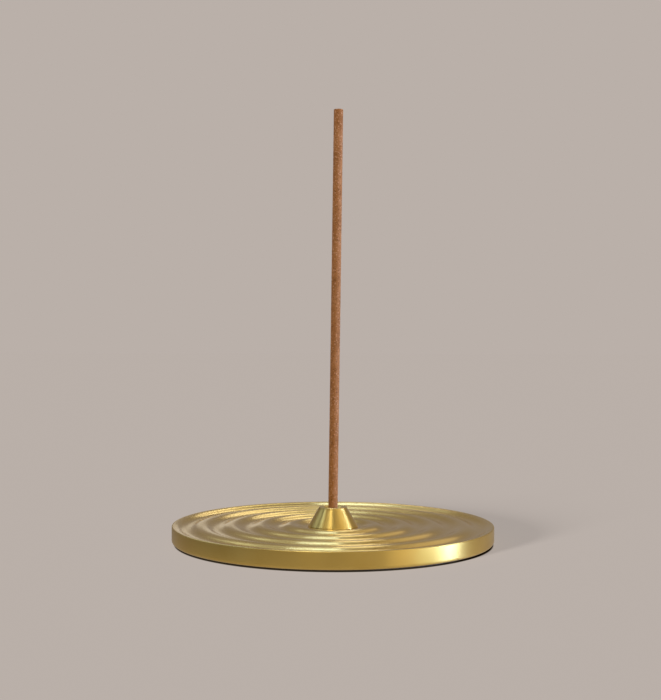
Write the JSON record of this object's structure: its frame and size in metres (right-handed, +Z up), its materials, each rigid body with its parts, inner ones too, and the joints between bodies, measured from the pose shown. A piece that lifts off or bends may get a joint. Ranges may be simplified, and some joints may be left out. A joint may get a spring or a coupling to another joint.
{
  "type": "incense burner",
  "caption": "Round rippled brass dish with a small central cone that holds an incense stick upright while the dish catches its ash, standing on a felt base pad.",
  "frame": {"origin": "on the table, at the centre of the underside of the base pad, on the dish's axis", "axes": "+Z up along the dish's axis; +X is the side that the stick leans to; -Y faces the picture's camera"},
  "size_m": [0.1, 0.1, 0.1351],
  "materials": {
    "turned_brass": "satin, with fine turning lines round the axis",
    "fastener_brass": "plain machined",
    "felt": "short felt",
    "incense": "matte pressed powder with fine grains"
  },
  "bodies": {
    "burner": {"dish": "turned_brass", "stick_holder": "turned_brass", "stem_washer": "fastener_brass", "stem_nut": "fastener_brass", "base_pad": "felt"},
    "stick": {"incense_stick": "incense"}
  },
  "joints": [
    {"name": "stick_lift", "type": "slide", "parent": "burner", "child": "stick", "axis": [0.0112, 0, 0.9999], "range_m": [0, 0.012]}
  ]
}
